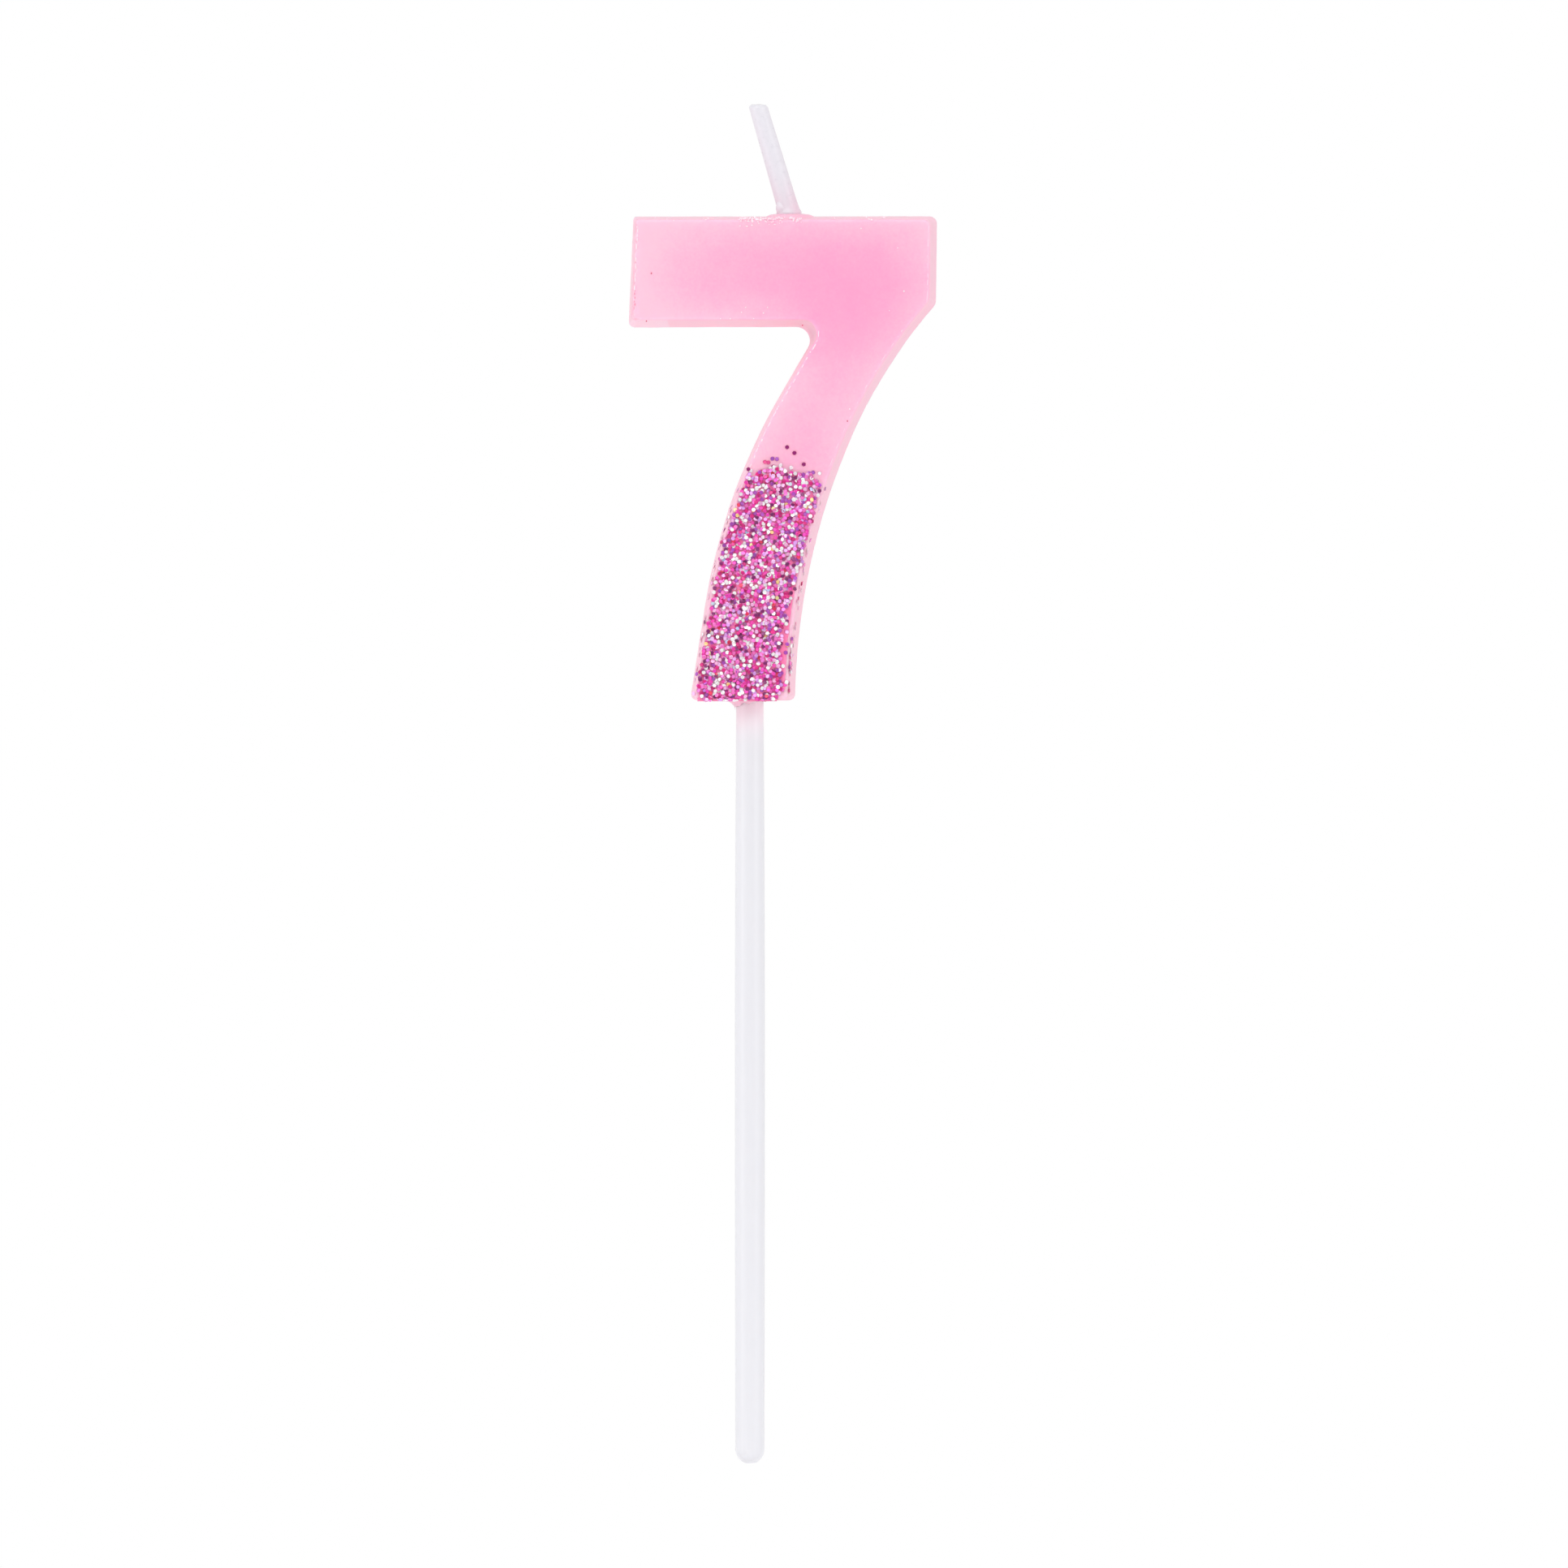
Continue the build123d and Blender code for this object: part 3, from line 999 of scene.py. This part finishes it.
def flake_turn(normal, tilt_degrees):
    """A turn that makes the flake face the normal, tilted by about this much to a random side."""
    spin = Matrix.Rotation(draw.uniform(0, math.tau), 4, "Z")
    lean = Matrix.Rotation(math.radians(tilt_degrees), 4, "X")
    turn = Matrix.Rotation(draw.uniform(0, math.tau), 4, "Z")
    return normal.to_track_quat("Z", "Y").to_matrix().to_4x4() @ turn @ lean @ spin


def scatter(name, model, drops, shades=(1.0,)):
    """
    Copies the model to each (place, turn, colour) and joins the copies to one piece. Each copy's
    rim keeps a share of the colour that is drawn from shades, and the rest is a darker painted shade.
    """
    reach = max(vertex.co.length for vertex in model.data.vertices)
    rim = [vertex.co.length > 0.9 * reach for vertex in model.data.vertices]
    copies = []
    for place, turn, colour in drops:
        mesh = model.data.copy()
        mesh.transform(Matrix.Translation(place) @ turn)
        layer = mesh.attributes.new("tint", "FLOAT_COLOR", "POINT")
        shade = draw.choice(shades)
        # A rim's colour is painted shade: its own colour, darkened towards a deep magenta.
        rim_colour = [own * shade + glue * (1 - shade) for own, glue in zip(colour, painted_rim_shade)]
        tints = [rim_colour if on_rim else colour for on_rim in rim]
        layer.data.foreach_set("color", [value for tint in tints for value in tint])
        copy = bpy.data.objects.new(name, mesh)
        bpy.context.scene.collection.objects.link(copy)
        copies.append(copy)
    return join_pieces(copies, name)


# %% Where flakes may land on the front
layer_goals = (1350, 900, 330)
nearest_in_layer = 0.33
highest_lift = 0.43
out_front = Vector((0, -1, 0))


def bare_glue(x, z):
    """Whether this is the strip along the lower right edge where the glue has few flakes."""
    right = glue_sides(z)[1]
    width = 0.95 * max(0, min(1, (13.8 - z) / 6)) * min(1, 0.35 + z / 9)
    return right - x < width + 0.4 * wiggle(x, z, 1.2, 3)


def has_neighbour(taken, x, z):
    """Whether a flake of this layer lies too close."""
    column, row = int(x // nearest_in_layer), int(z // nearest_in_layer)
    near = [taken.get((column + i, row + j), []) for i in (-1, 0, 1) for j in (-1, 0, 1)]
    return any(math.hypot(x - a, z - b) < nearest_in_layer for cell in near for a, b in cell)


# %% Drop the flakes on the front, layer by layer
drops = []
for layer, goal in enumerate(layer_goals):
    taken = {}
    for _ in range(goal * 12):
        if sum(map(len, taken.values())) >= goal:
            break
        x, z = draw.uniform(-6.4, 8.0), draw.uniform(0.05, 24.0)
        clump = 0.75 + 0.8 * wiggle(x, z, 1.1, 4 + layer) + 0.25 * wiggle(x, z, 0.5, 9)
        thrown = draw.random()
        chance = 0.04 if bare_glue(x, z) else max(0.2, clump)
        if inside_glue(x, z, 0.35) < 0 or thrown > chance or has_neighbour(taken, x, z):
            continue
        taken.setdefault((int(x // nearest_in_layer), int(z // nearest_in_layer)), []).append((x, z))
        tilt = min(48, abs(draw.gauss(0, 9 + 5 * layer)))
        rise = flake_radius * math.sin(math.radians(tilt))
        lift = min(0.06 + 0.06 * layer + rise, highest_lift - rise - 0.03)
        place = Vector((x, front_y / MM - lift, z)) * MM
        drops.append((place, flake_turn(out_front, tilt), flake_colour()))
print("flakes on the front", len(drops))
front_flakes = scatter("front_flakes", flake, drops, rim_shades)
finish_piece(front_flakes, "glitter_foil", "front_glitter")

# %% [markdown]
# ## Stray flakes
#
# A brush leaves flakes where they aren't wanted. Some lie along the side walls and under the
# foot, where they are seen edge-on, and a few stuck above the glue. CAD tells where the walls
# are, so those are scattered along runs of wall. The few above the glue are placed one by one.

# %% Flakes that landed on the walls and the foot
wall_drops = []
wall_runs = [  # side, from and to in depth, from and to in height, count
    (1, -3.9, -3.3, 0.4, 6.5, 26), (1, -3.7, -1.4, 2.6, 13.6, 26), (1, -3.8, -2.5, 13.6, 22.4, 9),
    (-1, -3.9, -3.3, 0.6, 22.6, 34), (-1, -3.4, -1.5, 1.0, 20.0, 10),
]
for side, y_from, y_to, z_from, z_to, count in wall_runs:
    for _ in range(count):
        place, normal = wall_point(side, draw.uniform(y_from, y_to) * MM, draw.uniform(z_from, z_to) * MM)
        turn = flake_turn(normal, min(30, abs(draw.gauss(0, 9))))
        wall_drops.append((place + normal * draw.uniform(0.01, 0.05) * MM, turn, flake_colour()))
foot_runs = [(-4.6, -1.9, 16), (-2.4, -1.0, 22), (1.4, 2.8, 8)]  # from and to across, count
down_front = Vector((0, -0.6, -0.8))
for x_from, x_to, count in foot_runs:
    for _ in range(count):
        x, y, z = draw.uniform(x_from, x_to), draw.uniform(-4.2, -3.9), draw.uniform(-0.05, 0.2)
        turn = flake_turn(down_front, draw.uniform(0, 40))
        wall_drops.append((Vector((x, y, z)) * MM, turn, flake_colour()))
wall_flakes = scatter("wall_flakes", flake, wall_drops, rim_shades)
finish_piece(wall_flakes, "glitter_foil", "edge_glitter")

# %% Loose flakes above the glue
dark, violet = rgb(150, 20, 112), rgb(168, 84, 190)
rose, silver = rgb(240, 80, 150), rgb(255, 244, 252)
loose_places = [  # across, height, colour
    (3.92, 25.92, dark), (4.67, 25.33, dark), (5.63, 24.17, dark), (2.42, 24.75, violet),
    (2.88, 24.71, violet), (-0.04, 23.67, dark), (1.65, 24.42, rose), (2.0, 24.36, rose),
    (3.25, 24.08, silver), (4.33, 23.83, silver), (2.5, 23.92, dark), (6.17, 23.25, violet),
    (6.58, 23.33, violet), (7.25, 23.25, silver), (1.25, 23.42, rose), (0.2, 23.5, silver),
]
loose_drops = [
    (Vector((x, front_y / MM - 0.03, z)) * MM, flake_turn(out_front, draw.uniform(2, 12)), colour)
    for x, z, colour in loose_places
]
# These flakes' rims get painted shade too.
loose_flakes = scatter("loose_flakes", flake, loose_drops, (0.4, 0.5))
finish_piece(loose_flakes, "glitter_foil", "stray_glitter")
bpy.data.objects.remove(flake)

# %% [markdown]
# ## Foil
#
# A flake is coloured foil under a clear lacquer. The colour comes from the painted attribute.
# Only a quarter of the shine is metal, because the lacquer and the glue scatter light, and a fine
# noise crumples the surface so that two flakes at the same angle still differ.

# %% Coloured foil
foil, shader = new_material("coloured_foil")
tint = shader.painted_colour("tint")
crumple = shader.grain(0.2, 2.0)
shader.surface(
    Base_Color=shader.blend(crumple * 0.05, tint, (1.0, 0.8, 0.95, 1.0)),
    Metallic=0.25,
    Roughness=0.14 + crumple * 0.12,
    Coat_Weight=0.25,
    Coat_Roughness=0.08,
    Normal=shader.bump(crumple, 0.01),
)
dress(foil, front_flakes, wall_flakes, loose_flakes)

# %% [markdown]
# ## Crumbs and flash
#
# Where the mould closed and where the wick was pulled straight, wax broke into white crumbs, and
# thin slivers of flash were left along the front edges. They are the sharpest highlights on the
# real candle, and the slivers' near-white colour is partly a painted highlight, for the light
# that their edges catch. One crumb is modelled from an icosphere with its points shaken. Copies
# of it are squashed to crumbs or stretched along an edge to slivers.

# %% Model one crumb
def model_crumb():
    """One crumb at the origin, with half sizes of about a millimetre."""
    bpy.ops.mesh.primitive_ico_sphere_add(subdivisions=2, radius=1.0 * MM, location=(0, 0, 0))
    crumb = bpy.context.active_object

    def shake():
        bpy.ops.mesh.select_all(action="SELECT")
        bpy.ops.transform.vertex_random(offset=0.22 * MM, uniform=0.0, normal=0.6, seed=5)
        bpy.ops.mesh.normals_make_consistent(inside=False)

    in_edit_mode(crumb, shake)
    return crumb


crumb = model_crumb()
# The two pale colours are wax bloom on the crumbs, and on the edge slivers also a painted highlight.
white_bloom_and_highlight, pale_bloom_and_highlight, crimson = rgb(255, 238, 244), rgb(255, 222, 234), rgb(206, 50, 90)


def crumb_drop(x, z, across, up, colour, lean=0.0, out=0.02):
    """A crumb on the front face: its half sizes are across and up, and it leans by some degrees."""
    turn = Matrix.Rotation(math.radians(lean), 4, "Y")
    spin = Matrix.Rotation(draw.uniform(-0.4, 0.4), 4, "X")
    size = Matrix.Diagonal((across, min(across, up, 0.06), up, 1))
    return Vector((x, front_y / MM - out, z)) * MM, turn @ spin @ size, colour


# %% Crumbs at their places
single_crumbs = [
    (-0.33, 40.25), (1.92, 40.25), (-0.75, 39.75), (1.5, 39.67), (-2.9, 39.1), (-1.9, 39.1),
    (0.5, 39.1), (11.5, 48.33), (15.25, 46.33), (15.9, 41.9), (14.4, 39.9), (10.33, 29.83),
]
dye_specks = [(5.5, 38.4), (10.1, 28.6), (-10.0, 43.75), (-10.5, 38.85)]
crumb_runs = [(-1.1, 3.4, 90, 0.35), (4.2, 5.4, 24, 0.25), (-10, 15, 30, 0.12)]  # below the top edge
front_top = 49.5
crumb_drops = []
for x, z in single_crumbs:
    size = draw.uniform(0.05, 0.09)
    crumb_drops.append(crumb_drop(x, z, size, size * draw.uniform(0.7, 1.2), white_bloom_and_highlight))
for x, z in dye_specks:
    crumb_drops.append(crumb_drop(x, z, 0.07, 0.09, crimson))
for x_from, x_to, count, spread in crumb_runs:
    for _ in range(count):
        x, z = draw.uniform(x_from, x_to), front_top - abs(draw.gauss(0, spread))
        size = draw.uniform(0.03, 0.085)
        colour = draw.choice([white_bloom_and_highlight, pale_bloom_and_highlight])
        crumb_drops.append(crumb_drop(x, z, size * draw.uniform(0.8, 1.8), size, colour))
print("crumbs", len(crumb_drops))


# %% Slivers of flash along the front edges
def edge_slivers(side, z_from, z_to, longest, gap, width, colour):
    """Broken slivers that follow the front edge on one side, from one height down to another."""
    z = z_from
    while z > z_to:
        length = draw.uniform(0.12, longest)
        middle_z = z - length / 2
        x = front_edge(side, middle_z * MM) / MM
        above, below = (front_edge(side, (middle_z + apart) * MM) for apart in (0.2, -0.2))
        lean = math.degrees(math.atan((above - below) / (0.4 * MM)))
        inwards = -side * draw.uniform(0.03, 0.14)
        across = width * draw.uniform(0.6, 1.3)
        crumb_drops.append(crumb_drop(x + inwards, middle_z, across, length / 2, colour, lean, 0.0))
        z -= length + draw.uniform(0.02, gap)


# The slivers' near-white is partly a painted highlight, for the light their edges catch.
edge_slivers(-1, 48.6, 46.8, 0.7, 0.25, 0.045, white_bloom_and_highlight)
edge_slivers(-1, 45.4, 42.2, 0.8, 0.35, 0.05, white_bloom_and_highlight)
edge_slivers(-1, 42.0, 40.0, 0.35, 0.15, 0.04, rgb(240, 120, 150))
edge_slivers(-1, 37.9, 24.2, 0.8, 0.5, 0.055, white_bloom_and_highlight)
edge_slivers(1, 48.6, 41.0, 1.6, 0.5, 0.03, pale_bloom_and_highlight)
edge_slivers(1, 38.0, 23.0, 1.1, 1.4, 0.03, pale_bloom_and_highlight)
wax_crumbs = scatter("wax_crumbs", crumb, crumb_drops)
bpy.data.objects.remove(crumb)
finish_piece(wax_crumbs, "pink_wax")

# %% [markdown]
# ## Bloomed wax and painted highlights
#
# Broken wax is full of tiny cracks that scatter light, so crumbs and slivers look almost white;
# on the slivers that white is also a painted highlight. Their colour comes from the painted
# attribute, as the foil's does, with a glossy coat that catches the lamps.

# %% Bloomed wax
bloom_and_highlight, shader = new_material("bloomed_wax_and_highlights")
tint = shader.painted_colour("tint")
fine = shader.grain(0.1, 2.0)
shader.surface(
    Base_Color=shader.blend(fine * 0.3, tint, rgb(255, 214, 230)),
    Roughness=0.25 + fine * 0.2,
    IOR=1.44,
    Coat_Weight=0.3,
    Normal=shader.bump(fine, 0.01),
)
dress(bloom_and_highlight, wax_crumbs)
